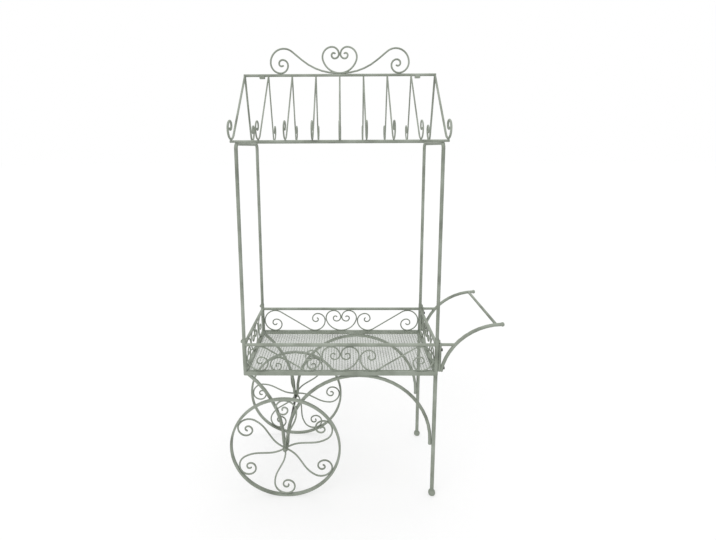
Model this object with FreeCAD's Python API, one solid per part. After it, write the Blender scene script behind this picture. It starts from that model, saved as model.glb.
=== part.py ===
import FreeCAD, Part
import math
import os

# Wrought-iron flower cart stand: a scrolled tray on two wheels and two legs, with a
# push handle at its right-hand end and an open slatted roof on four posts.
# Millimetres. +X runs towards the handle, -Y is the front, +Z is up, the ground is z = 0.

V = FreeCAD.Vector

# Tray
tray_half_length = 332.0        # middle of the tray to the middle of a corner tube
tray_half_depth = 165.0
base_bar = 14.0                 # square base bars
base_z = 493.0                  # middle of the base bars
rim_bar = 11.0                  # round rim rails
tray_height = 105.0             # from the middle of the base bars to the middle of the rim
corner_tube = 14.0
corner_rise = 22.0              # above the middle of the rim
mesh_thickness = 1.5
mesh_lap = 1.5                  # how far the mesh lies over the edges of the base bars
mesh_slots = 44                 # along the tray, in two rows
mesh_strand = 3.0
mesh_border = 6.0

# Scrolled panels of the tray
panel_wire = 5.0
weld_sink = 0.5                 # how far a wire beds into the bar that it is welded to
side_heart_width = 128.0        # between wire centres, like the radii below
end_heart_width = 124.0
panel_lobe_top = 31.4           # from the middle of a heart to the top of a lobe
scroll_head = 44.6
scroll_foot = 44.0
scroll_inner = 28.0
scroll_innermost = 18.0

# Posts, legs and feet
tube_flat_count = 8             # round the bent tubes
post_tube = 12.0
post_plug = 45.0                # how far a post sits inside its corner tube
hoop_top_z = 1277.0             # middle of the bar across the top of a pair of posts
hoop_lean_along = 6.5           # the posts lean in a little towards the top
hoop_lean_across = 3.0
hoop_bend = 18.0
leg_top_inset = 0.5
leg_splay = 5.0                 # the legs splay out a little towards the ground
leg_low_z = 7.0
foot_diameter = 26.0
foot_height = 20.0
foot_chamfer = 4.0

# Roof
ridge_z = 1505.0
ridge_bar = 9.0
ridge_inset = 9.0               # shorter than the tray at each end
eave_bar = 8.0
eave_overhang = 9.5             # longer than the tray at each end
eave_inset = 9.0
rafter_count = 9
rafter_wire = 5.0
end_rafter_wire = 7.0
curl_radius = 34.0
crest_wire = 6.0
crest_height = 83.5             # the heart and the scrolls, between wire centres
crest_heart_width = 116.0
crest_lobe_top = 25.5
crest_scroll_height = 78.5
crest_scroll_top_x = 188.5
crest_scroll_end_x = 30.0
crest_scroll_head = 45.0
crest_scroll_inner = 25.0
crest_scroll_innermost = 15.0
crest_tail = 120.0
crest_tail_x = 12.0             # where the tail would lie flat on the ridge
clip_inset = 59.0               # from the end of the ridge
clip_length = 18.0
clip_depth = 12.0
clip_drop = 8.0                 # below the middle of the ridge

# Wheels
wheel_radius = 200.0
rim_depth = 8.0                 # radial thickness of a wheel's rim
rim_width = 10.0
wheel_inset = 132.0             # from the tray's left corner tubes to the axle
spoke_count = 6
spoke_wire = 6.0
spoke_angle = 28.0
spoke_straight = 27.0
spoke_bend = 60.0
spoke_curl = 43.0
hub_diameter = 20.0
hub_length = 13.0
axle_diameter = 10.0
running_clearance = 0.06        # radial, hub on axle
side_clearance = 0.3
washer_diameter = 17.0
washer_thickness = 1.2
cap_nut_diameter = 15.0
cap_nut_length = 9.0
thread_length = 5.0
dome_chamfer = 3.0

# Braces between the tray, the axle and the legs
brace_tube = 12.0
brace_inset = 5.0               # from the plane of the legs
boss_diameter = 20.0
boss_length = 12.0
boss_gap = 0.5                  # from a boss to the wheel's hub
arch_foot_offset = 7.7          # from the axle to the middle of the arch's foot
arch_foot_rise = 8.0            # its other foot on the leg, above the axle
quarter_foot_offset = 7.0
quarter_straight = 24.0

# Handle
arm_tube = 12.0
arm_radius = 206.0
arm_bed = 4.9                   # how far an arm's foot beds into the bracket bar
arm_centre_drop = 32.7          # the arc's centre, below the foot of the arm
arm_end_back = 5.0              # the free end, short of the top of the arc
strut_tube = 10.0
strut_rise = 1.0                # above the middle of the rim
bracket_tube = 10.0
grip_tube = 10.0
grip_back = 23.0
knob_diameter = 15.0
knob_length = 11.0
knob_overlap = 2.0
knob_chamfer = 3.0

# Screws
screw_diameter = 5.0
screw_head = 9.0                # across the flats
screw_head_height = 3.5
screw_depth = 9.0
post_screw_drop = 9.0           # below the top of the corner tube
handle_screw_rise = 12.0        # the lower one, above the foot of the arm
handle_screw_drop = 24.0        # the upper one, below the top of the bracket bar

# Tray, legs and roof, worked out from the sizes above
base_low = base_z - base_bar / 2
base_top = base_z + base_bar / 2
rim_z = base_z + tray_height
rim_low = rim_z - rim_bar / 2
corner_top = rim_z + corner_rise
mesh_half_length = tray_half_length - base_bar / 2 + mesh_lap
mesh_half_depth = tray_half_depth - base_bar / 2 + mesh_lap
hoop_half_length = tray_half_length - hoop_lean_along
hoop_half_depth = tray_half_depth - hoop_lean_across
leg_top_x = tray_half_length - leg_top_inset
leg_foot_x = leg_top_x + leg_splay
ridge_half_length = tray_half_length - ridge_inset
ridge_top = ridge_z + ridge_bar / 2
clip_x = ridge_half_length - clip_inset
eave_half_length = tray_half_length + eave_overhang
eave_half_depth = tray_half_depth - eave_inset
bend_y = hoop_half_depth - hoop_bend
eave_z = hoop_top_z - hoop_bend + math.sqrt(
    (hoop_bend + (post_tube + eave_bar) / 2 - weld_sink) ** 2
    - (eave_half_depth - bend_y) ** 2)

# Wheels and braces
wheel_x = -tray_half_length + wheel_inset
brace_y = tray_half_depth - brace_inset
wheel_y = brace_y + boss_length / 2 + boss_gap + hub_length / 2

# Handle
arm_low_z = base_top
bracket_x = tray_half_length + (corner_tube + bracket_tube) / 2 - weld_sink
strut_z = rim_z + strut_rise
bracket_top = strut_z + strut_tube / 2
arm_low_x = bracket_x + (bracket_tube + arm_tube) / 2 - arm_bed
arm_centre = (
    arm_low_x + math.sqrt(arm_radius ** 2 - arm_centre_drop ** 2),
    arm_low_z - arm_centre_drop)
arm_end_x = arm_centre[0] - arm_end_back
grip_x = arm_centre[0] - grip_back

# The origin is on the ground, in the middle of the whole cart's length
left_end = wheel_x - wheel_radius
right_end = arm_end_x - knob_overlap + knob_length
middle_x = (left_end + right_end) / 2

sides = {"front": -1, "rear": 1}
ends = {"left": -1, "right": 1}


def save(name, *solids):
    """Writes one sub-part, moved so that the origin is in the middle of the cart."""
    shape = solids[0] if len(solids) == 1 else Part.makeCompound(list(solids))
    shape = shape.copy()
    shape.translate(V(-middle_x, 0, 0))
    shape.exportStep("parts/" + name + ".step")
    volume = sum(solid.Volume for solid in shape.Solids) / 1000
    print(f"{name:26s} {len(shape.Solids):2d} solids {volume:8.2f} cm3 valid {shape.isValid()}")


# ---------------------------------------------------------------- bars and wires

def rod(start, end, diameter):
    """A straight round bar between two points."""
    run = end.sub(start)
    return Part.makeCylinder(diameter / 2, run.Length, start, run)


def block(low, high):
    size = high.sub(low)
    return Part.makeBox(size.x, size.y, size.z, low)


def direction(angle):
    return V(math.cos(math.radians(angle)), math.sin(math.radians(angle)), 0)


def track(start, heading, moves, offset=0.0):
    """The curves of a path in the XY plane, or of a line beside it.

    Each move is (length, 0) for a straight run or (radius, turn) for a bend, with the
    turn in degrees, anticlockwise positive. The offset is to the left of the path.
    """
    curves = []
    point = V(start[0], start[1], 0) + direction(heading + 90) * offset
    for size, turn in moves:
        if turn == 0:
            curves.append(Part.LineSegment(point, point + direction(heading) * size))
        else:
            lean = math.copysign(1, turn)
            radius = size - lean * offset
            centre = point + direction(heading + 90) * (lean * radius)
            rays = [direction(heading + 90 + turn * part) * -lean for part in (0, 0.5, 1)]
            curves.append(Part.Arc(*[centre + ray * radius for ray in rays]))
            heading += turn
        point = curves[-1].EndPoint
    return curves


def flat_bar(start, heading, moves, width):
    """A square bar bent in the XY plane, centred on z = 0."""
    left = track(start, heading, moves, width / 2)
    right = track(start, heading, moves, -width / 2)
    end_cap = Part.LineSegment(left[-1].EndPoint, right[-1].EndPoint)
    start_cap = Part.LineSegment(right[0].StartPoint, left[0].StartPoint)
    edges = [curve.toShape() for curve in left + [end_cap] + right[::-1] + [start_cap]]
    face = Part.Face(Part.Wire(Part.sortEdges(edges)[0]))
    face.translate(V(0, 0, -width / 2))
    return face.extrude(V(0, 0, width))


def bent_tube(start, heading, moves, width):
    """A tube bent in the XY plane, drawn with flats."""
    pieces = []
    corner = width / 2 / math.cos(math.pi / tube_flat_count)
    for size, turn in moves:
        point = V(start[0], start[1], 0)
        along = direction(heading)
        first = direction(heading + 90) * corner
        corners = [
            point + FreeCAD.Rotation(along, 360 * (step + 0.5) / tube_flat_count).multVec(first)
            for step in range(tube_flat_count)]
        face = Part.Face(Part.makePolygon(corners + corners[:1]))
        if turn == 0:
            pieces.append(face.extrude(along * size))
            start = point + along * size
        else:
            lean = math.copysign(1, turn)
            centre = point + direction(heading + 90) * (lean * size)
            pieces.append(face.revolve(centre, V(0, 0, lean), abs(turn)))
            start = centre - direction(heading + 90 + turn) * (lean * size)
            heading += turn
    if len(pieces) == 1:
        return pieces[0]
    return pieces[0].multiFuse(pieces[1:]).removeSplitter()


def hexagon(start, end, across_flats):
    """A straight six-sided bar along the cart."""
    corner = across_flats / 2 / math.cos(math.pi / 6)
    points = [start + V(0, corner * math.cos(step * math.pi / 3), corner * math.sin(step * math.pi / 3))
              for step in range(7)]
    return Part.Face(Part.makePolygon(points)).extrude(end.sub(start))


def stand(shape, across):
    """Turns a flat piece upright: x still runs along the cart and y becomes height."""
    shape = shape.copy()
    shape.rotate(V(), V(1, 0, 0), 90)
    shape.translate(V(0, across, 0))
    return shape


def stand_endways(shape, along):
    """Turns a flat piece upright with its x running across the cart."""
    shape = stand(shape, 0)
    shape.rotate(V(), V(0, 0, 1), 90)
    shape.translate(V(along, 0, 0))
    return shape


def flipped(shape):
    """The same flat piece, reflected left to right."""
    return shape.mirror(V(), V(1, 0, 0))


def cut_all(shape, *others):
    for other in others:
        shape = shape.cut(other)
    return shape


# ---------------------------------------------------------------- scrollwork

def whole_heart(width, height, lobe_top, wire):
    """A scrolled heart in one wire, with its bottom point at (0, 0).

    The wide lower bend and the lobes are sized to reach the width and the height, and
    the lobes touch on the middle line. lobe_top is the top's distance from that line.
    """
    lobe = width / 2 - lobe_top
    turn = 2 * math.atan2(height - 2 * lobe, lobe_top)
    lower = lobe + lobe_top / math.sin(turn)
    inner = lobe_top - (wire - weld_sink) / 2
    moves = [
        (lower, -math.degrees(turn)),
        (lobe, math.degrees(turn) - 180),
        (inner, -90),
        (inner * 0.6, -90),
        (inner * 0.42, -70),
    ]
    half = flat_bar((0, 0), 180, moves, wire)
    return half.fuse(flipped(half)).removeSplitter()


def s_scroll(top, bottom, outer, lower, wire):
    """An S-shaped scroll in one wire.

    The outer spiral winds left and down from the point top, and a straight run leads
    down to the right, tangent to both, into the lower bends, which pass bottom. Each
    list holds the bends' (radius, turn) from there on.
    """
    first, second = outer[0][0], lower[0][0]
    span = bottom[0] - top[0]
    rise = top[1] - bottom[1] - first - second
    distance = math.hypot(span, rise)
    slope = math.atan2(rise, span) + math.asin((first + second) / distance)
    run = math.sqrt(distance ** 2 - (first + second) ** 2)
    start = (top[0] + first * math.sin(slope), top[1] - first * (1 - math.cos(slope)))
    slope = math.degrees(slope)
    up = [(first, outer[0][1] + slope)] + outer[1:]
    down = [(run, 0), (second, lower[0][1] + slope)] + lower[1:]
    upper_part = flat_bar(start, 180 - slope, up, wire)
    lower_part = flat_bar(start, -slope, down, wire)
    return upper_part.fuse(lower_part).removeSplitter()


def side_panel_scrolls(side):
    """The heart and two S-scrolls between a long base bar and the rim."""
    wire = panel_wire
    low = base_top + wire / 2 - weld_sink
    height = rim_low - base_top - wire + 2 * weld_sink
    heart = whole_heart(side_heart_width, height, panel_lobe_top, wire)
    inner_edge = side_heart_width / 2 + wire - weld_sink
    outer_edge = tray_half_length - corner_tube / 2 - wire / 2 + weld_sink
    top = (-(outer_edge - scroll_head), height)
    bottom = (-(inner_edge + scroll_foot), 0)
    inside = [(scroll_inner, 90), (scroll_innermost, 90)]
    outer = [(scroll_head, 90), (height - scroll_head, 90)] + inside
    lower = [(scroll_foot, 90)] + inside
    scroll = s_scroll(top, bottom, outer, lower, wire).cut(heart)
    pieces = [heart, scroll, flipped(scroll)]
    for piece in pieces:
        piece.translate(V(0, low, 0))
    return [stand(piece, side * tray_half_depth) for piece in pieces]


def end_panel_scrolls(end):
    """The heart and two spirals between a short base bar and the rim."""
    wire = panel_wire
    low = base_top + wire / 2 - weld_sink
    height = rim_low - base_top - wire + 2 * weld_sink
    heart = whole_heart(end_heart_width, height, panel_lobe_top, wire)
    inner_edge = end_heart_width / 2 + wire - weld_sink
    outer_edge = tray_half_depth - corner_tube / 2 - wire / 2 + weld_sink
    turn = (outer_edge - inner_edge) / 2
    moves = [(turn, 180), (height - turn, 90), (scroll_inner, 90), (scroll_innermost, 90)]
    spiral = flat_bar((-inner_edge, height - turn), 90, moves, wire).cut(heart)
    pieces = [heart, spiral, flipped(spiral)]
    for piece in pieces:
        piece.translate(V(0, low, 0))
    return [stand_endways(piece, end * tray_half_length) for piece in pieces]


# ---------------------------------------------------------------- tray

def corner_post(end, side):
    x, y = end * tray_half_length, side * tray_half_depth
    return rod(V(x, y, base_low), V(x, y, corner_top), corner_tube)


def mesh():
    """A sheet with two rows of long slots, on the base bars."""
    outlines = [rectangle(-mesh_half_length, -mesh_half_depth, mesh_half_length, mesh_half_depth)]
    pitch = 2 * (mesh_half_length - mesh_border) / mesh_slots
    for slot in range(mesh_slots):
        x = -mesh_half_length + mesh_border + pitch * slot
        for near in (-mesh_half_depth + mesh_border, mesh_strand / 2):
            far = near + mesh_half_depth - mesh_border - mesh_strand / 2
            outlines.append(rectangle(x, near, x + pitch - mesh_strand, far))
    net = Part.makeFace(outlines, "Part::FaceMakerBullseye")
    net.translate(V(0, 0, base_top))
    return net.extrude(V(0, 0, mesh_thickness))


def rectangle(left, near, right, far):
    corners = [(left, near), (right, near), (right, far), (left, far), (left, near)]
    return Part.makePolygon([V(x, y, 0) for x, y in corners])


# ---------------------------------------------------------------- posts, legs and feet

def hoop():
    """The right-hand pair of posts and the bar across their tops, in one bent tube."""
    height = hoop_top_z - rim_z
    low = corner_top - post_plug - rim_z
    drift = (tray_half_depth - hoop_half_depth) / height
    lean = math.degrees(math.atan(drift))
    tuck = hoop_bend * math.tan(math.radians(90 - lean) / 2)
    start = (-tray_half_depth + drift * low, low)
    run = math.hypot(height - low, drift * (height - low)) - tuck
    across = 2 * (hoop_half_depth - tuck)
    moves = [(run, 0), (hoop_bend, lean - 90), (across, 0), (hoop_bend, lean - 90), (run, 0)]
    tube = stand_endways(bent_tube(start, 90 - lean, moves, post_tube), 0)
    tilt = math.degrees(math.atan((tray_half_length - hoop_half_length) / height))
    tube.rotate(V(), V(0, 1, 0), -tilt)
    tube.translate(V(tray_half_length, 0, rim_z))
    return tube


def leg(side):
    """A leg, cut off level under the tray's corner."""
    y = side * tray_half_depth
    foot = V(leg_foot_x, y, 0)
    slope = V(leg_top_x, y, base_low).sub(foot) * (1 / base_low)
    tube = rod(foot + slope * leg_low_z, foot + slope * (base_low + corner_tube), corner_tube)
    return tube.cut(above_base())


def above_base():
    reach = 2 * tray_half_length
    return block(V(-reach, -reach, base_low), V(reach, reach, base_low + reach))


def foot(side, tube):
    y = side * tray_half_depth
    cap = rod(V(leg_foot_x, y, 0), V(leg_foot_x, y, foot_height), foot_diameter)
    rim = [edge for edge in cap.Edges if abs(edge.CenterOfMass.z - foot_height) < 0.01]
    return cap.makeChamfer(foot_chamfer, rim).cut(tube)


# ---------------------------------------------------------------- roof

def rafter(wire):
    """One rear rafter with its upturned curl, its head at the ridge's middle."""
    centre_x = eave_half_depth
    centre_z = eave_z + eave_bar / 2 - weld_sink + wire / 2 + curl_radius
    drop = centre_z - ridge_z
    distance = math.hypot(centre_x, drop)
    heading = math.degrees(math.atan2(drop, centre_x) - math.asin(curl_radius / distance))
    run = math.sqrt(distance ** 2 - curl_radius ** 2)
    moves = [
        (run, 0),
        (curl_radius, 90 - heading),
        (curl_radius * 0.6, 90),
        (curl_radius * 0.4, 70),
    ]
    return stand_endways(flat_bar((0, 0), heading, moves, wire), 0), heading


def rafters(side, ridge, eave):
    """The nine rafters of one slope, fanned out a little towards the eave."""
    slope_length = math.hypot(eave_half_depth, ridge_z - eave_z)
    reach = eave_half_length + end_rafter_wire
    beyond = block(V(-reach, -reach, 0), V(reach, 0, ridge_z + reach))
    pieces = []
    for station in range(rafter_count):
        share = 2 * station / (rafter_count - 1) - 1
        at_end = abs(share) == 1
        piece, heading = rafter(end_rafter_wire if at_end else rafter_wire)
        spread = share * (eave_half_length - ridge_half_length)
        fan = math.degrees(math.atan(spread / slope_length))
        square = V(0, -math.sin(math.radians(heading)), math.cos(math.radians(heading)))
        piece.rotate(V(), square, -fan)
        piece.translate(V(share * ridge_half_length, 0, ridge_z))
        piece = piece.cut(beyond)       # the two slopes meet in a mitre under the ridge
        if side < 0:
            piece = piece.mirror(V(), V(0, 1, 0))
        pieces.append(cut_all(piece, ridge, eave))
    return pieces


def crest(ridge):
    """The heart and the two big scrolls along the top of the ridge."""
    wire = crest_wire
    low = ridge_top + wire / 2 - weld_sink
    heart = whole_heart(crest_heart_width, crest_height, crest_lobe_top, wire)
    short = math.degrees(math.asin((crest_scroll_end_x - crest_tail_x) / crest_tail))
    outer = [
        (crest_scroll_head, 90),
        (crest_scroll_height - crest_scroll_head, 90),
        (crest_scroll_inner, 90),
        (crest_scroll_innermost, 90),
    ]
    scroll = s_scroll(
        (-crest_scroll_top_x, crest_scroll_height), (-crest_tail_x, 0),
        outer, [(crest_tail, -short)], wire)
    scroll = scroll.cut(heart)
    pieces = [heart, scroll, flipped(scroll)]
    for piece in pieces:
        piece.translate(V(0, low, 0))
    return [stand(piece, 0).cut(ridge) for piece in pieces]


def ridge_clip(end, ridge):
    """A small saddle clip on the underside of the ridge."""
    low = V(end * clip_x - clip_length / 2, -clip_depth / 2, ridge_z - clip_drop)
    high = V(end * clip_x + clip_length / 2, clip_depth / 2, ridge_z)
    return block(low, high).cut(ridge)


# ---------------------------------------------------------------- wheels and axle

def ring(radius, bore, width, x, y, z):
    """A flat ring round a line across the cart, centred on the point."""
    start, end = V(x, y - width / 2, z), V(x, y + width / 2, z)
    return rod(start, end, 2 * radius).cut(rod(start, end, 2 * bore))


def spoke():
    """The spoke that leaves the hub straight down and curls up inside the rim."""
    root = hub_diameter / 2 - spoke_wire / 2
    reach = wheel_radius - rim_depth - spoke_wire / 2 + weld_sink
    bends = 2 * spoke_bend * math.sin(math.radians(spoke_angle))
    drop = root + spoke_straight + bends + spoke_curl
    run = (reach - drop) / math.cos(math.radians(spoke_angle))
    moves = [
        (spoke_straight, 0),
        (spoke_bend, -spoke_angle),
        (run, 0),
        (spoke_bend, spoke_angle),
    ]
    moves += [(spoke_curl * share, 90) for share in (1, 0.7, 0.56, 0.35)]
    return flat_bar((0, -root), -90, moves, spoke_wire)


def wheel(side, clocking):
    """One wheel's rim, hub and spokes."""
    y = side * wheel_y
    rim = ring(wheel_radius, wheel_radius - rim_depth, rim_width, wheel_x, y, wheel_radius)
    hub = ring(hub_diameter / 2, axle_diameter / 2 + running_clearance, hub_length,
               wheel_x, y, wheel_radius)
    hub_core = rod(V(wheel_x, y - hub_length, wheel_radius),
                   V(wheel_x, y + hub_length, wheel_radius), hub_diameter)
    spokes = []
    for number in range(spoke_count):
        piece = spoke()
        piece.rotate(V(), V(0, 0, 1), clocking + number * 360 / spoke_count)
        piece = stand(piece, y)
        piece.translate(V(wheel_x, 0, wheel_radius))
        spokes.append(cut_all(piece, rim, hub_core))
    return rim, hub, spokes


hub_outside = wheel_y + hub_length / 2 + side_clearance
nut_seat = hub_outside + washer_thickness
axle_end = nut_seat + thread_length


def axle():
    return rod(V(wheel_x, -axle_end, wheel_radius), V(wheel_x, axle_end, wheel_radius), axle_diameter)


def washer(side):
    y = side * (hub_outside + washer_thickness / 2)
    return ring(washer_diameter / 2, axle_diameter / 2, washer_thickness, wheel_x, y, wheel_radius)


def cap_nut(side, shaft):
    """A domed nut over the threaded end of the axle."""
    start = V(wheel_x, side * nut_seat, wheel_radius)
    end = start + V(0, side * cap_nut_length, 0)
    nut = rod(start, end, cap_nut_diameter)
    crown = [edge for edge in nut.Edges if edge.CenterOfMass.sub(end).Length < 0.01]
    return nut.makeChamfer(dome_chamfer, crown).cut(shaft)


def boss(side):
    return ring(boss_diameter / 2, axle_diameter / 2, boss_length,
                wheel_x, side * brace_y, wheel_radius)


# ---------------------------------------------------------------- braces

def boss_core(side):
    y = side * brace_y
    reach = boss_length
    return rod(V(wheel_x, y - reach, wheel_radius), V(wheel_x, y + reach, wheel_radius), boss_diameter)


def arch_brace(side, leg_tube):
    """From the axle boss up under the tray and down to the leg.

    It is half a circle, or two quarters with a flat between them on a tray so long
    that half a circle would start below the axle.
    """
    crown_z = base_low - brace_tube / 2 + weld_sink
    foot_z = wheel_radius + arch_foot_rise
    leg_x = leg_foot_x - leg_splay * foot_z / base_low
    left_x = wheel_x + arch_foot_offset
    right_x = leg_x - (corner_tube + brace_tube) / 2 + weld_sink
    radius = min((right_x - left_x) / 2, crown_z - foot_z)
    flat = right_x - left_x - 2 * radius
    spring_z = crown_z - radius
    moves = [
        (spring_z - wheel_radius, 0),
        (radius, -90),
        (flat, 0),
        (radius, -90),
        (spring_z - foot_z, 0),
    ]
    moves = [move for move in moves if move[0] > weld_sink]
    tube = stand(bent_tube((left_x, wheel_radius), 90, moves, brace_tube), side * brace_y)
    return cut_all(tube, boss_core(side), leg_tube, above_base())


def quarter_brace(side, arch):
    """From the axle boss out and up to the tray's left corner."""
    foot_x = wheel_x - quarter_foot_offset
    out = foot_x + tray_half_length - corner_tube / 2
    rise = base_low - wheel_radius - quarter_straight
    radius = (rise ** 2 + out ** 2) / (2 * out)
    turn = math.degrees(math.asin((rise + brace_tube) / radius))    # then cut off level
    moves = [(quarter_straight, 0), (radius, turn)]
    tube = stand(bent_tube((foot_x, wheel_radius), 90, moves, brace_tube), side * brace_y)
    return cut_all(tube, boss_core(side), above_base(), arch)


# ---------------------------------------------------------------- handle

def arm(side):
    """A handle arm, sweeping up and out in an arc."""
    x, z = arm_centre
    start_angle = 180 - math.degrees(math.asin((arm_low_z - z) / arm_radius))
    end_angle = math.degrees(math.acos((arm_end_x - x) / arm_radius))
    start = (x + arm_radius * math.cos(math.radians(start_angle)), arm_low_z)
    tube = bent_tube(start, start_angle - 90, [(arm_radius, end_angle - start_angle)], arm_tube)
    return stand(tube, side * tray_half_depth)


def arm_height(x):
    return arm_centre[1] + math.sqrt(arm_radius ** 2 - (x - arm_centre[0]) ** 2)


def arm_x(z):
    return arm_centre[0] - math.sqrt(arm_radius ** 2 - (z - arm_centre[1]) ** 2)


def bracket(side, corner):
    """The upright bar between the corner tube and the handle."""
    y = side * tray_half_depth
    return rod(V(bracket_x, y, arm_low_z), V(bracket_x, y, bracket_top), bracket_tube).cut(corner)


def strut(side, bracket_bar, arm_bar):
    y = side * tray_half_depth
    bar = rod(V(bracket_x, y, strut_z), V(arm_x(strut_z), y, strut_z), strut_tube)
    return cut_all(bar, bracket_bar, arm_bar)


def grip(arms):
    z = arm_height(grip_x)
    bar = rod(V(grip_x, -tray_half_depth, z), V(grip_x, tray_half_depth, z), grip_tube)
    return cut_all(bar, *arms)


def knob(side, arm_bar):
    """A rounded cap on the free end of an arm."""
    low = V(arm_end_x - knob_overlap, side * tray_half_depth, arm_height(arm_end_x))
    high = low + V(knob_length, 0, 0)
    cap = rod(low, high, knob_diameter)
    tip = [edge for edge in cap.Edges if edge.CenterOfMass.sub(high).Length < 0.01]
    return cap.makeChamfer(knob_chamfer, tip).cut(arm_bar)


# ---------------------------------------------------------------- screws

def screw(end, side, z, seat_x, seated_on):
    """A hexagon-headed screw running in from the end of the cart.

    Returns the screw and its shank, which cuts the holes.
    """
    y = side * tray_half_depth
    seat = V(end * seat_x, y, z)
    out = V(end * screw_head_height, 0, 0)
    head = cut_all(hexagon(seat - out, seat + out, screw_head), *seated_on)
    tip = V(end * (tray_half_length + corner_tube / 2 - screw_depth), y, z)
    shank = hexagon(tip, seat + out * 0.5, screw_diameter)
    return head.fuse(shank).removeSplitter(), shank


def build():
    os.makedirs("parts", exist_ok=True)

    corners = {(end, side): corner_post(ends[end], sides[side]) for end in ends for side in sides}
    right_hoop = hoop()
    hoops = {"right": right_hoop, "left": flipped(right_hoop)}
    arms = {side: arm(sides[side]) for side in sides}
    brackets = {side: bracket(sides[side], corners["right", side]) for side in sides}

    # Screws through the corner tubes into the posts, and through the handle
    post_screws = []
    shanks = {place: [] for place in corners}
    for end, side in corners:
        outside = tray_half_length + corner_tube / 2
        z = corner_top - post_screw_drop
        fastener, shank = screw(ends[end], sides[side], z, outside, [corners[end, side]])
        post_screws.append(fastener)
        shanks[end, side].append(shank)
    handle_screws = []
    for side in sides:
        low, high = arm_low_z + handle_screw_rise, bracket_top - handle_screw_drop
        through = [(low, arm_x(low) + arm_tube / 2), (high, bracket_x + bracket_tube / 2)]
        for z, outside in through:
            seats = [brackets[side], arms[side], corners["right", side]]
            fastener, shank = screw(1, sides[side], z, outside, seats)
            handle_screws.append(fastener)
            shanks["right", side].append(shank)

    # Tray
    rails = {}
    for side, sign in sides.items():
        y = sign * tray_half_depth
        posts = [corners["left", side], corners["right", side]]
        low = V(-tray_half_length, y - base_bar / 2, base_low)
        high = V(tray_half_length, y + base_bar / 2, base_top)
        rails["base", side] = cut_all(block(low, high), *posts)
        rail = rod(V(-tray_half_length, y, rim_z), V(tray_half_length, y, rim_z), rim_bar)
        rails["rim", side] = cut_all(rail, *posts)
    for end, sign in ends.items():
        x = sign * tray_half_length
        posts = [corners[end, "front"], corners[end, "rear"]]
        inner = tray_half_depth - base_bar / 2
        low = V(x - base_bar / 2, -inner, base_low)
        high = V(x + base_bar / 2, inner, base_top)
        rails["base", end] = block(low, high)
        rail = rod(V(x, -tray_half_depth, rim_z), V(x, tray_half_depth, rim_z), rim_bar)
        rails["rim", end] = cut_all(rail, *posts)
    for (level, place), rail in rails.items():
        save(f"tray_{level}_{place}", rail)
    for side, sign in sides.items():
        bars = [rails["base", side], rails["rim", side], corners["left", side], corners["right", side]]
        save(f"tray_scrolls_{side}", *[cut_all(piece, *bars) for piece in side_panel_scrolls(sign)])
    for end, sign in ends.items():
        bars = [rails["base", end], rails["rim", end], corners[end, "front"], corners[end, "rear"]]
        save(f"tray_scrolls_{end}", *[cut_all(piece, *bars) for piece in end_panel_scrolls(sign)])
    save("tray_mesh", mesh())
    for (end, side), post in corners.items():
        save(f"tray_corner_{end}_{side}", cut_all(post, hoops[end], *shanks[end, side]))

    # Posts and roof
    for end in ends:
        save(f"post_hoop_{end}", cut_all(hoops[end], *shanks[end, "front"], *shanks[end, "rear"]))
    ridge_reach = ridge_half_length + end_rafter_wire / 2
    ridge = rod(V(-ridge_reach, 0, ridge_z), V(ridge_reach, 0, ridge_z), ridge_bar)
    save("roof_ridge", ridge)
    for side, sign in sides.items():
        reach = eave_half_length + end_rafter_wire / 2
        y = sign * eave_half_depth
        eave = rod(V(-reach, y, eave_z), V(reach, y, eave_z), eave_bar)
        save(f"roof_eave_{side}", cut_all(eave, *hoops.values()))
        save(f"roof_rafters_{side}", *rafters(sign, ridge, eave))
    save("roof_crest", *crest(ridge))
    save("ridge_clips", *[ridge_clip(sign, ridge) for sign in ends.values()])

    # Legs, braces and axle
    shaft = axle()
    save("axle", shaft)
    feet = []
    for side, sign in sides.items():
        tube = leg(sign)
        save(f"leg_{side}", tube)
        feet.append(foot(sign, tube))
        arch = arch_brace(sign, tube)
        save(f"arch_brace_{side}", arch)
        save(f"quarter_brace_{side}", quarter_brace(sign, arch))
    save("feet", *feet)
    save("axle_bosses", *[boss(sign) for sign in sides.values()])
    save("axle_washers", *[washer(sign) for sign in sides.values()])
    save("axle_cap_nuts", *[cap_nut(sign, shaft) for sign in sides.values()])

    # Wheels, the rear one turned by half a spoke
    for side, clocking in (("front", 0), ("rear", 180 / spoke_count)):
        rim, hub, spokes = wheel(sides[side], clocking)
        save(f"{side}_wheel_rim", rim)
        save(f"{side}_wheel_hub", hub)
        save(f"{side}_wheel_spokes", *spokes)

    # Handle
    save("handle_grip", grip(arms.values()))
    for side, sign in sides.items():
        arm_bar = arms[side].cut(brackets[side])
        save(f"handle_arm_{side}", cut_all(arm_bar, *shanks["right", side]))
    save("handle_brackets", *[cut_all(bar, *shanks["right", side]) for side, bar in brackets.items()])
    save("handle_struts", *[strut(sides[side], bar, arms[side]) for side, bar in brackets.items()])
    save("handle_knobs", *[knob(sides[side], bar) for side, bar in arms.items()])
    save("post_screws", *post_screws)
    save("handle_screws", *handle_screws)


build()
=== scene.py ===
import math
import bpy
from mathutils import Matrix, Vector


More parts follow.
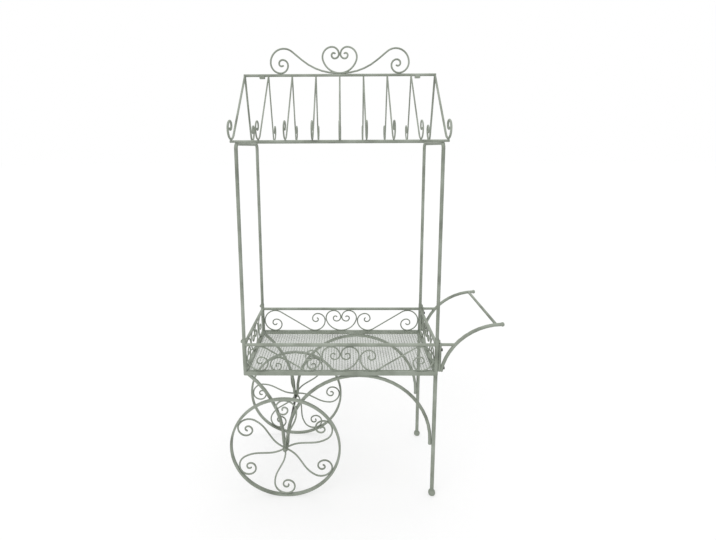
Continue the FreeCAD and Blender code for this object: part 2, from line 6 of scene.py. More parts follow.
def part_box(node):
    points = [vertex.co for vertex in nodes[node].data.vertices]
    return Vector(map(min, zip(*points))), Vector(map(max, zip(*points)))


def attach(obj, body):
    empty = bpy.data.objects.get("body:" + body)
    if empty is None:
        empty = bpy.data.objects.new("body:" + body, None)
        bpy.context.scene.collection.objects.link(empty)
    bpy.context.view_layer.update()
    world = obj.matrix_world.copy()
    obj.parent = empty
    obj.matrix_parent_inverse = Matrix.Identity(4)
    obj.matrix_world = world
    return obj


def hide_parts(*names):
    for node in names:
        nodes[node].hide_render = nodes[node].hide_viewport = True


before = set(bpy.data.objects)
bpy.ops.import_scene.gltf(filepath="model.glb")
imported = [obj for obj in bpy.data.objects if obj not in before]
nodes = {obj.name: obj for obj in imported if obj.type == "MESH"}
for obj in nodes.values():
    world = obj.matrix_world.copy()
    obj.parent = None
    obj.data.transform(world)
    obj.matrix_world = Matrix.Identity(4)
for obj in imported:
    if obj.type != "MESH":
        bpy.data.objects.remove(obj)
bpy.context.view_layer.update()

mm = 0.001
barSides = 14  # round a tube or wire
turnedSides = 28  # round a foot, knob or nut
bendStep = 7  # degrees between two rings of a bend
smoothUnder = 50  # degrees; faces that meet more sharply keep their edge


def middle(node):
    low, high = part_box(node)
    return (low + high) / 2


def deselectAll():
    if bpy.context.object and bpy.context.object.mode == "EDIT":
        bpy.ops.object.mode_set(mode="OBJECT")
    bpy.ops.object.select_all(action="DESELECT")


def pick(piece):
    deselectAll()
    piece.select_set(True)
    bpy.context.view_layer.objects.active = piece


def place(piece, move=(0, 0, 0), turn=0.0, axis="Y"):
    # turns a piece about the origin, moves it and leaves its place in its mesh
    pick(piece)
    piece.matrix_world = Matrix.Translation(move) @ Matrix.Rotation(math.radians(turn), 4, axis)
    bpy.ops.object.transform_apply(location=True, rotation=True, scale=True)


def copyOf(piece, name):
    twin = piece.copy()
    twin.data = piece.data.copy()
    twin.name = name
    bpy.context.scene.collection.objects.link(twin)
    return twin


def flipAcross(piece, axis):
    # mirrors a piece through the origin and turns its faces outwards again
    pick(piece)
    piece.scale[axis] = -1
    bpy.ops.object.transform_apply(location=True, rotation=True, scale=True)
    outwards(piece)


def outwards(piece):
    pick(piece)
    bpy.ops.object.mode_set(mode="EDIT")
    bpy.ops.mesh.select_all(action="SELECT")
    bpy.ops.mesh.normals_make_consistent(inside=False)
    bpy.ops.object.mode_set(mode="OBJECT")


def joined(pieces, name):
    pick(pieces[0])
    for piece in pieces[1:]:
        piece.select_set(True)
    if len(pieces) > 1:
        bpy.ops.object.join()
    pieces[0].name = name
    return pieces[0]


def roundedOff(piece):
    # in edit mode: turns its faces outwards, keeps its place in its mesh and shades it smooth
    bpy.ops.mesh.select_all(action="SELECT")
    bpy.ops.mesh.normals_make_consistent(inside=False)
    bpy.ops.object.mode_set(mode="OBJECT")
    bpy.ops.object.transform_apply(location=True, rotation=True, scale=True)
    bpy.ops.object.shade_smooth_by_angle(angle=math.radians(smoothUnder))
    return piece


def bendBar(name, thickness, start, heading, moves):
    # a round bar bent in the XZ plane: a circle carried along straight runs and bends
    # moves are (length, 0) or (radius, degrees), anticlockwise seen from the front
    deselectAll()
    angle = math.radians(heading)
    x, z = start
    bpy.ops.mesh.primitive_circle_add(
        vertices=barSides, radius=thickness * mm / 2, location=(x * mm, 0, z * mm),
        rotation=(0, math.pi / 2 - angle, 0))
    bar = bpy.context.object
    bar.name = name
    bpy.ops.object.mode_set(mode="EDIT")
    bpy.ops.mesh.select_all(action="SELECT")
    for size, turn in moves:
        if turn == 0:
            x += size * math.cos(angle)
            z += size * math.sin(angle)
            step = (size * mm * math.cos(angle), 0, size * mm * math.sin(angle))
            bpy.ops.mesh.extrude_region_move(TRANSFORM_OT_translate={"value": step})
        else:
            inward = angle + math.copysign(math.pi / 2, turn)
            centreX = x + size * math.cos(inward)
            centreZ = z + size * math.sin(inward)
            bpy.ops.mesh.spin(
                steps=max(2, round(abs(turn) / bendStep)), angle=math.radians(abs(turn)),
                center=(centreX * mm, 0, centreZ * mm), axis=(0, math.copysign(1, turn), 0))
            angle += math.radians(turn)
            inward += math.radians(turn)
            x = centreX - size * math.cos(inward)
            z = centreZ - size * math.sin(inward)
    bpy.ops.mesh.select_all(action="DESELECT")
    bpy.ops.mesh.select_non_manifold()
    bpy.ops.mesh.fill_holes(sides=0)
    return roundedOff(bar)


def turned(name, profile):
    # a round piece about the Z axis, widened or narrowed ring by ring up its outline
    deselectAll()
    radius, height = profile[0]
    bpy.ops.mesh.primitive_circle_add(
        vertices=turnedSides, radius=radius * mm, fill_type="NGON", location=(0, 0, height * mm))
    piece = bpy.context.object
    piece.name = name
    bpy.ops.object.transform_apply(location=True, rotation=True, scale=True)
    bpy.ops.object.mode_set(mode="EDIT")
    bpy.ops.mesh.select_all(action="SELECT")
    for wide, high in profile[1:]:
        step = (0, 0, (high - height) * mm)
        bpy.ops.mesh.extrude_region_move(TRANSFORM_OT_translate={"value": step})
        bpy.ops.transform.resize(
            value=(wide / radius, wide / radius, 1), center_override=(0, 0, high * mm))
        radius, height = wide, high
    return roundedOff(piece)


# scrollwork shared by the tray and the crest

weldSink = 0.5  # a wire beds this far into the bar that carries it
heartCurl = [(1, 90), (0.62, 90), (0.46, 90), (0.32, 90), (0.22, 70)]  # (share of the first, degrees)


def heart(name, width, height, lobeTop, wire):
    # both halves of a scrolled heart, from its bottom point at x = 0 to the inner ends
    lobe = width / 2 - lobeTop
    turn = 2 * math.atan2(height - 2 * lobe, lobeTop)
    lower = lobe + lobeTop / math.sin(turn)
    inner = lobeTop - (wire - weldSink) / 2
    turn = math.degrees(turn)
    halves = []
    for side in (-1, 1):
        moves = [(lower, turn), (lobe, 180 - turn)]
        moves += [(inner * share, bend) for share, bend in heartCurl]
        moves = [(size, side * bend) for size, bend in moves]
        halves.append(bendBar(name, wire, (0, 0), 90 - side * 90, moves))
    return joined(halves, name)


def sScroll(name, wire, top, bottom, outer, lower):
    # a straight run from the outer spiral down into the lower one, tangent to both
    first, second = outer[0][0], lower[0][0]
    span = bottom[0] - top[0]
    rise = top[1] - bottom[1] - first - second
    distance = math.hypot(span, rise)
    slope = math.atan2(rise, span) + math.asin((first + second) / distance)
    run = math.sqrt(distance ** 2 - (first + second) ** 2)
    start = (top[0] + first * math.sin(slope), top[1] - first * (1 - math.cos(slope)))
    slope = math.degrees(slope)
    upMoves = [(first, outer[0][1] + slope)] + outer[1:]
    downMoves = [(run, 0), (second, lower[0][1] + slope)] + lower[1:]
    up = bendBar(name, wire, start, 180 - slope, upMoves)
    down = bendBar(name, wire, start, -slope, downMoves)
    return joined([up, down], name)


# tray panels

trayPanel = {
    "wire": 5.0,
    "sideHeart": 128.0,  # width
    "endHeart": 124.0,
    "lobeTop": 31.4,  # from the middle line to the top of a lobe
    "outerBend": 44.6,
    "lowerBend": 44.0,
    "outerCurl": [(27, 90), (23, 90), (15, 90), (10, 90), (7, 80)],
    "lowerCurl": [(31, 90), (22, 90), (14, 90), (10, 90), (7, 80)],
    "endCurl": [(32, 90), (22, 90), (14, 90), (9, 90), (6.5, 70)],
}


def panelSpace(end):
    # the lower wire's middle, the rise to the upper wire's, and half the way between the tubes
    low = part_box("tray_base_front")[1].z / mm
    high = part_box("tray_rim_front")[0].z / mm
    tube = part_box("tray_corner_left_front")
    axis = 1 if end else 0
    reach = abs(middle("tray_corner_left_front")[axis] - middle("tray_mesh")[axis]) / mm
    wire = trayPanel["wire"]
    half = reach - (tube[1].x - tube[0].x) / mm / 2 - wire / 2 + weldSink
    return low + wire / 2 - weldSink, high - low - wire + 2 * weldSink, half


def sidePanel(side):
    part = trayPanel
    low, height, half = panelSpace(False)
    wire = part["wire"]
    heartReach = part["sideHeart"] / 2 + wire - weldSink
    top = (-(half - part["outerBend"]), height)
    bottom = (-(heartReach + part["lowerBend"]), 0)
    outer = [(part["outerBend"], 90), (height - part["outerBend"], 90)] + part["outerCurl"]
    lower = [(part["lowerBend"], 90)] + part["lowerCurl"]
    pieces = [heart("heart", part["sideHeart"], height, part["lobeTop"], wire)]
    pieces.append(sScroll("scroll", wire, top, bottom, outer, lower))
    pieces.append(copyOf(pieces[1], "scroll"))
    flipAcross(pieces[2], 0)
    panel = joined(pieces, "tray_scrollwork_" + side)
    place(panel, (middle("tray_mesh").x, middle("tray_base_" + side).y, low * mm))
    return panel


def endPanel(end):
    part = trayPanel
    low, height, half = panelSpace(True)
    wire = part["wire"]
    inner = part["endHeart"] / 2 + wire - weldSink
    bend = (half - inner) / 2
    moves = [(bend, 180), (height - bend, 90)] + part["endCurl"]
    pieces = [heart("heart", part["endHeart"], height, part["lobeTop"], wire)]
    pieces.append(bendBar("spiral", wire, (-inner, height - bend), 90, moves))
    pieces.append(copyOf(pieces[1], "spiral"))
    flipAcross(pieces[2], 0)
    panel = joined(pieces, "tray_scrollwork_" + end)
    place(panel, (middle("tray_base_" + end).x, 0, low * mm), 90, "Z")
    return panel


# tray floor

wireMesh = {
    "alongCount": 63,  # gaps along the tray
    "acrossCount": 42,
    "wire": 2.0,
    "weave": 0.4,  # from a low crossing up to a high one
}


def wovenFloor():
    low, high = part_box("tray_mesh")
    deselectAll()
    bpy.ops.mesh.primitive_grid_add(
        x_subdivisions=wireMesh["alongCount"], y_subdivisions=wireMesh["acrossCount"],
        size=1, location=(low + high) / 2)
    floor = bpy.context.object
    floor.name = "tray_wire_mesh"
    inset = wireMesh["wire"] * mm
    floor.scale = (high.x - low.x - inset, high.y - low.y - inset, 1)
    bpy.ops.object.transform_apply(location=True, rotation=True, scale=True)
    perRow = wireMesh["alongCount"] + 1
    for index, vertex in enumerate(floor.data.vertices):
        step = index % perRow + index // perRow
        vertex.co.z += wireMesh["weave"] * mm * (1 if step % 2 else -1) / 2
    frameWire = floor.modifiers.new("wires", "WIREFRAME")
    frameWire.thickness = wireMesh["wire"] * mm
    frameWire.use_even_offset = True
    frameWire.use_boundary = True
    bpy.ops.object.modifier_apply(modifier="wires")
    return floor


# roof

roof = {
    "wire": 5.0,
    "endWire": 7.0,
    "count": 9,
    "curl": 34.0,  # the curl's big bend
    "curlEnd": [(21, 90), (15.5, 90), (11, 90), (7.5, 80)],
}


def rafter(name, wire):
    # one rear rafter in the XZ plane, from the middle of the ridge down and out
    ridge, eave = middle("roof_ridge"), middle("roof_eave_rear")
    across = abs(eave.y - ridge.y) / mm
    curl = roof["curl"]
    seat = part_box("roof_eave_rear")[1].z / mm - weldSink + wire / 2
    drop = seat + curl - ridge.z / mm
    heading = math.degrees(math.atan2(drop, across) - math.asin(curl / math.hypot(across, drop)))
    run = math.sqrt(across ** 2 + drop ** 2 - curl ** 2)
    moves = [(run, 0), (curl, 90 - heading)] + roof["curlEnd"]
    return bendBar(name, wire, (0, 0), heading, moves), heading


def rafterRow(side):
    ridge, eave = middle("roof_ridge"), middle("roof_eave_rear")
    ridgeLow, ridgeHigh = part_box("roof_ridge")
    eaveLow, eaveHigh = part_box("roof_eave_rear")
    slope = math.hypot(eave.y - ridge.y, eave.z - ridge.z)
    edge = roof["endWire"] * mm / 2
    ridgeHalf = (ridgeHigh.x - ridgeLow.x) / 2 - edge
    eaveHalf = (eaveHigh.x - eaveLow.x) / 2 - edge
    thin, heading = rafter("rafter", roof["wire"])
    thick = rafter("rafter", roof["endWire"])[0]
    stand = Matrix.Rotation(math.radians(90), 4, "Z")
    tilt = math.radians(heading)
    square = Vector((0, -math.sin(tilt), math.cos(tilt)))  # to the rafters' slope
    row = []
    for station in range(roof["count"]):
        share = 2 * station / (roof["count"] - 1) - 1
        bar = copyOf(thick if abs(share) == 1 else thin, "rafter")
        pick(bar)
        fan = Matrix.Rotation(-math.atan(share * (eaveHalf - ridgeHalf) / slope), 4, square)
        bar.matrix_world = Matrix.Translation((share * ridgeHalf, 0, 0)) @ fan @ stand
        bpy.ops.object.transform_apply(location=True, rotation=True, scale=True)
        row.append(bar)
    for pattern in (thin, thick):
        bpy.data.objects.remove(pattern)
    rafters = joined(row, "rafters_round_" + side)
    if side == "front":
        flipAcross(rafters, 1)
    place(rafters, (ridge.x, ridge.y, ridge.z))
    return rafters


crest = {
    "wire": 6.0,
    "heartWidth": 116.0,
    "heartHeight": 83.5,
    "lobeTop": 25.5,
    "topX": 188.5,  # where the scroll is highest
    "topZ": 78.5,
    "bend": 45.0,
    "curl": [(25, 90), (18, 90), (12, 90), (8.5, 90), (6.5, 60)],
    "tail": 190.0,  # the long soft bend onto the ridge
    "tailX": 8.0,
    "endX": 11.0,
    "clipDrop": 11.0,  # how far a saddle clip reaches below the middle of the ridge
    "clipLength": 1.5,  # times its depth
    "clipBevel": 1.5,
    "bevelSteps": 3,
}


def crestScrolls():
    part = crest
    tailTurn = math.degrees(math.asin((part["endX"] - part["tailX"]) / part["tail"]))
    outer = [(part["bend"], 90), (part["topZ"] - part["bend"], 90)] + part["curl"]
    wire = part["wire"]
    pieces = [heart("heart", part["heartWidth"], part["heartHeight"], part["lobeTop"], wire)]
    pieces.append(sScroll("scroll", wire, (-part["topX"], part["topZ"]), (-part["tailX"], 0),
                          outer, [(part["tail"], -tailTurn)]))
    pieces.append(copyOf(pieces[1], "scroll"))
    flipAcross(pieces[2], 0)
    top = joined(pieces, "crest_round")
    ridge = middle("roof_ridge")
    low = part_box("roof_ridge")[1].z + (wire / 2 - weldSink) * mm
    place(top, (ridge.x, ridge.y, low))
    return top


def ridgeClips():
    low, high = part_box("ridge_clips")
    ridge = middle("roof_ridge")
    length = (high.y - low.y) * crest["clipLength"]
    pair = []
    for x in (low.x + length / 2, high.x - length / 2):
        deselectAll()
        bpy.ops.mesh.primitive_cube_add(size=1)
        clip = bpy.context.object
        clip.scale = (length, high.y - low.y, crest["clipDrop"] * mm)
        bpy.ops.object.transform_apply(location=True, rotation=True, scale=True)
        bpy.ops.object.mode_set(mode="EDIT")
        bpy.ops.mesh.select_all(action="SELECT")
        bpy.ops.mesh.bevel(offset=crest["clipBevel"] * mm, segments=crest["bevelSteps"])
        bpy.ops.object.mode_set(mode="OBJECT")
        place(clip, (x, ridge.y, ridge.z - crest["clipDrop"] * mm / 2))
        pair.append(clip)
    return joined(pair, "saddle_clips")


# posts, braces and handle arms

tubes = {
    "post": 12.0,
    "postBend": 18.0,
    "postLift": 1.5,  # of its lower end above the end of the post in the frame
    "brace": 12.0,
    "archFoot": 8.0,  # height of its right foot above the middle of the axle
    "footRun": 12.0,  # the feet of two braces lean together over the axle
    "footLean": 12.0,  # degrees
    "footBend": 50.0,
    "quarterFoot": 7.0,  # from the axle to the middle of the tube
    "quarterStraight": 24.0,  # how high above the axle its arc begins
    "arm": 12.0,
    "armRadius": 206.0,
    "armBeyond": 5.0,  # how far past the arm's end its arc is centred
    "armLift": 1.0,  # of its foot above the foot of the arm in the frame
}


def postHoop(end):
    low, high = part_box("post_hoop_" + end)
    corner = middle("tray_corner_" + end + "_front")
    rim = middle("tray_rim_front").z
    part = tubes
    half = part["post"] * mm / 2
    topZ = high.z - half
    topHalf = middle("roof_eave_rear").y + half
    drift = (abs(corner.y) - topHalf) / (topZ - rim)
    lean = math.degrees(math.atan(drift))
    tuck = part["postBend"] * math.tan(math.radians(90 - lean) / 2)
    foot = low.z + part["postLift"] * mm
    start = ((-abs(corner.y) + drift * (foot - rim)) / mm, (foot - rim) / mm)
    run = math.hypot(topZ - foot, drift * (topZ - foot)) / mm - tuck
    bend = (part["postBend"], lean - 90)
    hoop = bendBar("post_round_" + end, part["post"], start, 90 - lean,
                   [(run, 0), bend, (2 * topHalf / mm - 2 * tuck, 0), bend, (run, 0)])
    place(hoop, (0, 0, 0), 90, "Z")
    top = high.x - half if end == "left" else low.x + half
    tilt = math.degrees(math.atan((top - corner.x) / (topZ - rim)))
    place(hoop, (corner.x, 0, rim), tilt, "Y")
    return hoop


def leaningFoot(side):
    # how far the foot's end stands aside from the upright tube, its moves and its height
    part = tubes
    lean = math.radians(part["footLean"])
    aside = part["footRun"] * math.sin(lean) + part["footBend"] * (1 - math.cos(lean))
    rise = part["footRun"] * math.cos(lean) + part["footBend"] * math.sin(lean)
    return aside, [(part["footRun"], 0), (part["footBend"], side * part["footLean"])], rise


def archBrace(side):
    low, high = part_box("arch_brace_" + side)
    part = tubes
    half = part["brace"] / 2
    left = low.x / mm + half
    right = high.x / mm - half + weldSink
    radius = (right - left) / 2
    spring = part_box("tray_base_front")[0].z / mm - half + weldSink - radius
    axle = middle("axle").z / mm
    aside, foot, rise = leaningFoot(1)
    moves = foot + [(spring - axle - rise, 0), (radius, -180), (spring - axle - part["archFoot"], 0)]
    start = (left - aside, axle)
    arch = bendBar("arch_round_" + side, part["brace"], start, 90 - part["footLean"], moves)
    place(arch, (0, middle("arch_brace_" + side).y, 0))
    return arch


def quarterBrace(side):
    part = tubes
    axle = middle("axle")
    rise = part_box("tray_base_front")[0].z / mm - axle.z / mm - part["quarterStraight"]
    standX = axle.x / mm - part["quarterFoot"]
    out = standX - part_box("tray_corner_left_front")[1].x / mm
    radius = (rise ** 2 + out ** 2) / (2 * out)
    turn = math.degrees(math.asin(rise / radius))
    aside, foot, height = leaningFoot(-1)
    moves = foot + [(part["quarterStraight"] - height, 0), (radius, turn)]
    start = (standX + aside, axle.z / mm)
    brace = bendBar("quarter_round_" + side, part["brace"], start, 90 + part["footLean"], moves)
    place(brace, (0, middle("quarter_brace_" + side).y, 0))
    return brace


def handleArm(side):
    part = tubes
    low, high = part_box("handle_arm_" + side)
    grip = middle("handle_grip")
    radius = part["armRadius"]
    centreX = high.x / mm + part["armBeyond"]
    reach = grip.x / mm - centreX
    centreZ = grip.z / mm - math.sqrt(radius ** 2 - reach ** 2)
    startZ = low.z / mm + part["armLift"]
    begin = 180 - math.degrees(math.asin((startZ - centreZ) / radius))
    finish = math.degrees(math.acos((high.x / mm - centreX) / radius))
    start = (centreX + radius * math.cos(math.radians(begin)), startZ)
    arm = bendBar("arm_round_" + side, part["arm"], start, begin - 90, [(radius, finish - begin)])
    place(arm, (0, middle("handle_arm_" + side).y, 0))
    return arm


# wheel spokes

spoke = {
    "wire": 6.0,
    "rimDepth": 8.0,  # from the rim's outside to its inside
    "root": 8.0,  # from the middle of the hub
    "straight": 5.0,
    "lean": 28.0,
    "softBend": 105.0,
    "curl": 43.0,
    "curlEnd": [(30, 90), (25, 90), (17, 90), (11.5, 90), (8, 90), (6, 40)],
    "count": 6,
    "turns": {"front": 0, "rear": 30},  # degrees that each wheel stands turned
}


def wheelSpokes(side):
    part = spoke
    rimLow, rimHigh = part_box(side + "_wheel_rim")
    hub = middle(side + "_wheel_hub")
    lean = math.radians(part["lean"])
    reach = (rimHigh.z - rimLow.z) / mm / 2 - part["rimDepth"] - part["wire"] / 2 + weldSink
    drop = part["root"] + part["straight"] + 2 * part["softBend"] * math.sin(lean) + part["curl"]
    run = (reach - drop) / math.cos(lean)
    moves = [(part["straight"], 0), (part["softBend"], -part["lean"]), (run, 0),
             (part["softBend"], part["lean"]), (part["curl"], 90)] + part["curlEnd"]
    pattern = bendBar("spoke", part["wire"], (0, -part["root"]), -90, moves)
    spokes = [copyOf(pattern, "spoke") for number in range(part["count"])]
    for number, bar in enumerate(spokes):
        place(bar, (0, 0, 0), -(part["turns"][side] + number * 360 / part["count"]))
    bpy.data.objects.remove(pattern)
    wheel = joined(spokes, side + "_spokes_round")
    place(wheel, hub)
    return wheel


# feet, knobs and axle nuts

turnings = {  # each outline as (radius, height) from the bottom
    "foot": [(8.5, 0), (11, 1.5), (12.6, 5), (13, 9), (12.2, 13), (10.2, 16.5), (7.4, 19.2)],
    "knob": [(4.8, 0), (6.6, 1.4), (7.5, 4), (7.5, 6), (6.6, 8.6), (4.8, 10.2), (2.2, 10.9)],
    "nut": [(7.5, 0), (7.5, 3.6), (6.9, 5.6), (5.4, 7.4), (3.3, 8.5), (1.2, 8.95)],
}


def feet():
    pair = []
    low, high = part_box("feet")
    for side in ("front", "rear"):
        foot = turned("foot", turnings["foot"])
        place(foot, ((low.x + high.x) / 2, middle("leg_" + side).y, low.z))
        pair.append(foot)
    return joined(pair, "round_feet")


def knobs():
    pair = []
    low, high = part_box("handle_knobs")
    for side in ("front", "rear"):
        knob = turned("knob", turnings["knob"])
        place(knob, (low.x, middle("handle_arm_" + side).y, (low.z + high.z) / 2), 90)
        pair.append(knob)
    return joined(pair, "round_knobs")


def axleNuts():
    pair = []
    low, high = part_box("axle_cap_nuts")
    seat = turnings["nut"][-1][1] * mm
    for side in (-1, 1):
        nut = turned("nut", turnings["nut"])
        y = high.y - seat if side > 0 else low.y + seat
        place(nut, ((low.x + high.x) / 2, y, (low.z + high.z) / 2), -side * 90, "X")
        pair.append(nut)
    return joined(pair, "domed_nuts")


# finishes

paint = {
    "base": (0.262, 0.292, 0.240, 1),
    "chalky": (0.345, 0.378, 0.325, 1),
    "rubbed": (0.185, 0.205, 0.168, 1),
    "rubbedAt": 0.30,  # where the patches take each colour
    "baseAt": 0.47,
    "chalkyAt": 0.72,
    "patches": (14, 5),  # scale and detail
    "grain": (420, 3),
    "grainStrength": 0.25,
    "grainDepth": 0.0004,
    "roughness": 0.55,
}


def newMaterial(name):
    material = bpy.data.materials.new(name)
    material.use_nodes = True
    return material, material.node_tree.nodes, material.node_tree.links


def noise(tree, links, scale, detail):
    texture = tree.new("ShaderNodeTexNoise")
    texture.inputs["Scale"].default_value = scale
    texture.inputs["Detail"].default_value = detail
    spot = tree.new("ShaderNodeTexCoord")
    links.new(spot.outputs["Object"], texture.inputs["Vector"])
    return texture


def washedPaint():
    material, tree, links = newMaterial("sage_green_washed_paint")
    shader = tree["Principled BSDF"]
    patches = noise(tree, links, *paint["patches"])
    ramp = tree.new("ShaderNodeValToRGB")
    dark, light = ramp.color_ramp.elements
    dark.position, dark.color = paint["rubbedAt"], paint["rubbed"]
    light.position, light.color = paint["chalkyAt"], paint["chalky"]
    ramp.color_ramp.elements.new(paint["baseAt"]).color = paint["base"]
    links.new(patches.outputs["Fac"], ramp.inputs["Fac"])
    links.new(ramp.outputs["Color"], shader.inputs["Base Color"])
    grain = noise(tree, links, *paint["grain"])
    bump = tree.new("ShaderNodeBump")
    bump.inputs["Strength"].default_value = paint["grainStrength"]
    bump.inputs["Distance"].default_value = paint["grainDepth"]
    links.new(grain.outputs["Fac"], bump.inputs["Height"])
    links.new(bump.outputs["Normal"], shader.inputs["Normal"])
    shader.inputs["Roughness"].default_value = paint["roughness"]
    return material


bareSteel = {
    "stained": (0.05, 0.05, 0.045, 1),
    "clean": (0.16, 0.16, 0.15, 1),
    "stains": (90, 4),  # scale and detail
    "metallic": 0.8,
    "roughness": 0.45,
}


def darkSteel():
    material, tree, links = newMaterial("dark_bare_steel")
    shader = tree["Principled BSDF"]
    stains = noise(tree, links, *bareSteel["stains"])
    ramp = tree.new("ShaderNodeValToRGB")
    ramp.color_ramp.elements[0].color = bareSteel["stained"]
    ramp.color_ramp.elements[1].color = bareSteel["clean"]
    links.new(stains.outputs["Fac"], ramp.inputs["Fac"])
    links.new(ramp.outputs["Color"], shader.inputs["Base Color"])
    shader.inputs["Metallic"].default_value = bareSteel["metallic"]
    shader.inputs["Roughness"].default_value = bareSteel["roughness"]
    return material


# build

pieces = []


def standFor(piece, node, body):
    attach(piece, body)
    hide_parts(node)
    pieces.append(piece)


for side in ("front", "rear"):
    standFor(sidePanel(side), "tray_scrolls_" + side, "cart_frame")
for end in ("left", "right"):
    standFor(endPanel(end), "tray_scrolls_" + end, "cart_frame")
standFor(wovenFloor(), "tray_mesh", "cart_frame")
print("tray scrollwork and mesh floor made")

for side in ("front", "rear"):
    standFor(rafterRow(side), "roof_rafters_" + side, "cart_frame")
standFor(crestScrolls(), "roof_crest", "cart_frame")
standFor(ridgeClips(), "ridge_clips", "cart_frame")
for end in ("left", "right"):
    standFor(postHoop(end), "post_hoop_" + end, "cart_frame")
print("roof and posts made")

for side in ("front", "rear"):
    standFor(archBrace(side), "arch_brace_" + side, "cart_frame")
    standFor(quarterBrace(side), "quarter_brace_" + side, "cart_frame")
    standFor(handleArm(side), "handle_arm_" + side, "cart_frame")
standFor(feet(), "feet", "cart_frame")
standFor(knobs(), "handle_knobs", "cart_frame")
standFor(axleNuts(), "axle_cap_nuts", "cart_frame")
standFor(wheelSpokes("front"), "front_wheel_spokes", "front_wheel")
standFor(wheelSpokes("rear"), "rear_wheel_spokes", "rear_wheel")
print("braces, handle arms, turned pieces and spokes made")

painted, steel = washedPaint(), darkSteel()
bareNodes = ("axle", "handle_screws")
for name, node in nodes.items():
    node.data.materials.clear()
    node.data.materials.append(steel if name in bareNodes else painted)
for piece in pieces:
    piece.data.materials.clear()
    piece.data.materials.append(painted)
print("finishes given")


# floor, lights and camera

white = (1, 1, 1, 1)
studio = {
    "floorSize": 60.0,
    "floorColour": (0.86, 0.86, 0.86, 1),
    "floorRoughness": 0.9,
    "glowShare": 0.5,  # of the floor that the camera sees
    "nearGlow": (0.8, 1.11),  # metres from the middle, and the glow that makes the floor white
    "farGlow": (5.0, 1.38),
    "worldLight": 0.75,
    "worldSeen": 1.0,  # what the camera sees behind the floor
    "keyPower": 60.0,
    "lampSize": 3.0,
    "keyPlace": (-1.8, -3.2, 3.6),
    "topPower": 45.0,
    "topPlace": (0.5, 0.6, 4.2),
    "aim": (0, 0, 0.8),  # of both lamps
}


def whiteFloor():
    deselectAll()
    bpy.ops.mesh.primitive_plane_add(size=studio["floorSize"], location=(0, 0, 0))
    floor = bpy.context.object
    floor.name = "studio_floor"
    material, tree, links = newMaterial("white_floor")
    shader = tree["Principled BSDF"]
    shader.inputs["Base Color"].default_value = studio["floorColour"]
    shader.inputs["Roughness"].default_value = studio["floorRoughness"]
    glow = tree.new("ShaderNodeEmission")
    spot = tree.new("ShaderNodeTexCoord")
    away = tree.new("ShaderNodeVectorMath")
    away.operation = "LENGTH"
    links.new(spot.outputs["Object"], away.inputs[0])
    grow = tree.new("ShaderNodeMapRange")  # inputs 1 and 2 are distances, 3 and 4 the glow there
    for step, key in enumerate(("nearGlow", "farGlow")):
        grow.inputs[1 + step].default_value = studio[key][0]
        grow.inputs[3 + step].default_value = studio[key][1]
    links.new(away.outputs["Value"], grow.inputs["Value"])
    links.new(grow.outputs["Result"], glow.inputs["Strength"])
    blend = tree.new("ShaderNodeMixShader")
    blend.inputs["Fac"].default_value = studio["glowShare"]
    seen = tree.new("ShaderNodeMixShader")
    light = tree.new("ShaderNodeLightPath")
    output = tree["Material Output"]
    links.new(shader.outputs["BSDF"], blend.inputs[1])
    links.new(glow.outputs["Emission"], blend.inputs[2])
    links.new(light.outputs["Is Camera Ray"], seen.inputs["Fac"])
    links.new(shader.outputs["BSDF"], seen.inputs[1])
    links.new(blend.outputs["Shader"], seen.inputs[2])
    links.new(seen.outputs["Shader"], output.inputs["Surface"])
    floor.data.materials.append(material)


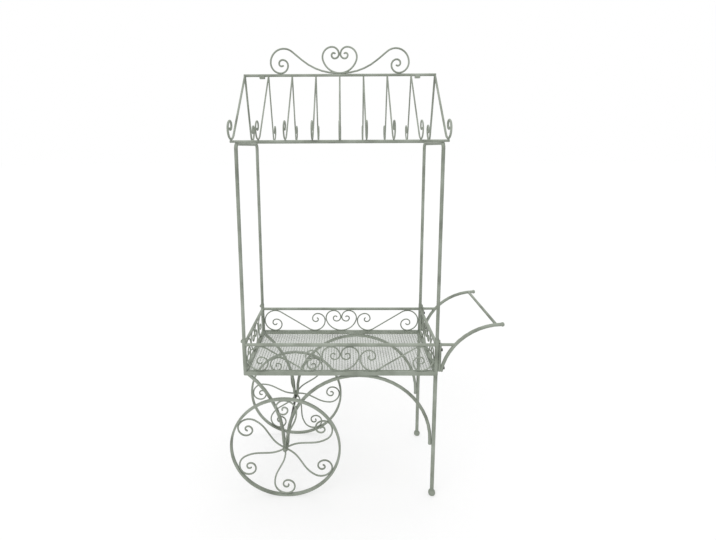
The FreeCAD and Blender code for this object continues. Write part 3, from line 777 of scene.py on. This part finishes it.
def whiteWorld():
    world = bpy.data.worlds.new("studio_world")
    bpy.context.scene.world = world
    world.use_nodes = True
    tree, links = world.node_tree.nodes, world.node_tree.links
    soft = tree["Background"]
    soft.inputs["Color"].default_value = white
    soft.inputs["Strength"].default_value = studio["worldLight"]
    plain = tree.new("ShaderNodeBackground")
    plain.inputs["Color"].default_value = white
    plain.inputs["Strength"].default_value = studio["worldSeen"]
    seen = tree.new("ShaderNodeMixShader")
    light = tree.new("ShaderNodeLightPath")
    links.new(light.outputs["Is Camera Ray"], seen.inputs["Fac"])
    links.new(soft.outputs["Background"], seen.inputs[1])
    links.new(plain.outputs["Background"], seen.inputs[2])
    links.new(seen.outputs["Shader"], tree["World Output"].inputs["Surface"])


def softLamp(name, power, size, spot):
    lamp = bpy.data.lights.new(name, "AREA")
    lamp.energy = power
    lamp.size = size
    holder = bpy.data.objects.new(name, lamp)
    bpy.context.scene.collection.objects.link(holder)
    holder.location = spot
    toCart = Vector(studio["aim"]) - Vector(spot)
    holder.rotation_euler = toCart.to_track_quat("-Z", "Y").to_euler()


lens = {
    "picture": (716, 540),
    "sensor": 36,  # mm
    "farthest": 200,  # metres that the camera sees
    "focalPixels": 420.0,
    "centreX": 341.4,  # where the optical axis meets the picture
    "centreY": 232.5,
    "place": (-0.0605, -1.5057, 1.2638),
    "pitch": 0.1995,  # radians, downwards
    "yaw": 0.0096,
    "roll": -0.0040,
}


def photoCamera():
    width, height = lens["picture"]
    data = bpy.data.cameras.new("photo_camera")
    data.sensor_width = lens["sensor"]
    data.lens = lens["focalPixels"] / width * data.sensor_width
    data.shift_x = (width / 2 - lens["centreX"]) / width
    data.shift_y = (lens["centreY"] - height / 2) / width
    data.clip_end = lens["farthest"]
    camera = bpy.data.objects.new("photo_camera", data)
    bpy.context.scene.collection.objects.link(camera)
    yaw, roll = Matrix.Rotation(lens["yaw"], 4, "Z"), Matrix.Rotation(lens["roll"], 4, "Z")
    pitch = Matrix.Rotation(math.pi / 2 - lens["pitch"], 4, "X")
    camera.matrix_world = Matrix.Translation(lens["place"]) @ yaw @ pitch @ roll
    bpy.context.scene.camera = camera


whiteFloor()
whiteWorld()
softLamp("key_light", studio["keyPower"], studio["lampSize"], studio["keyPlace"])
softLamp("top_light", studio["topPower"], studio["lampSize"], studio["topPlace"])
photoCamera()
bpy.context.scene.view_settings.view_transform = "Standard"
print("floor, lights and camera set")

deselectAll()
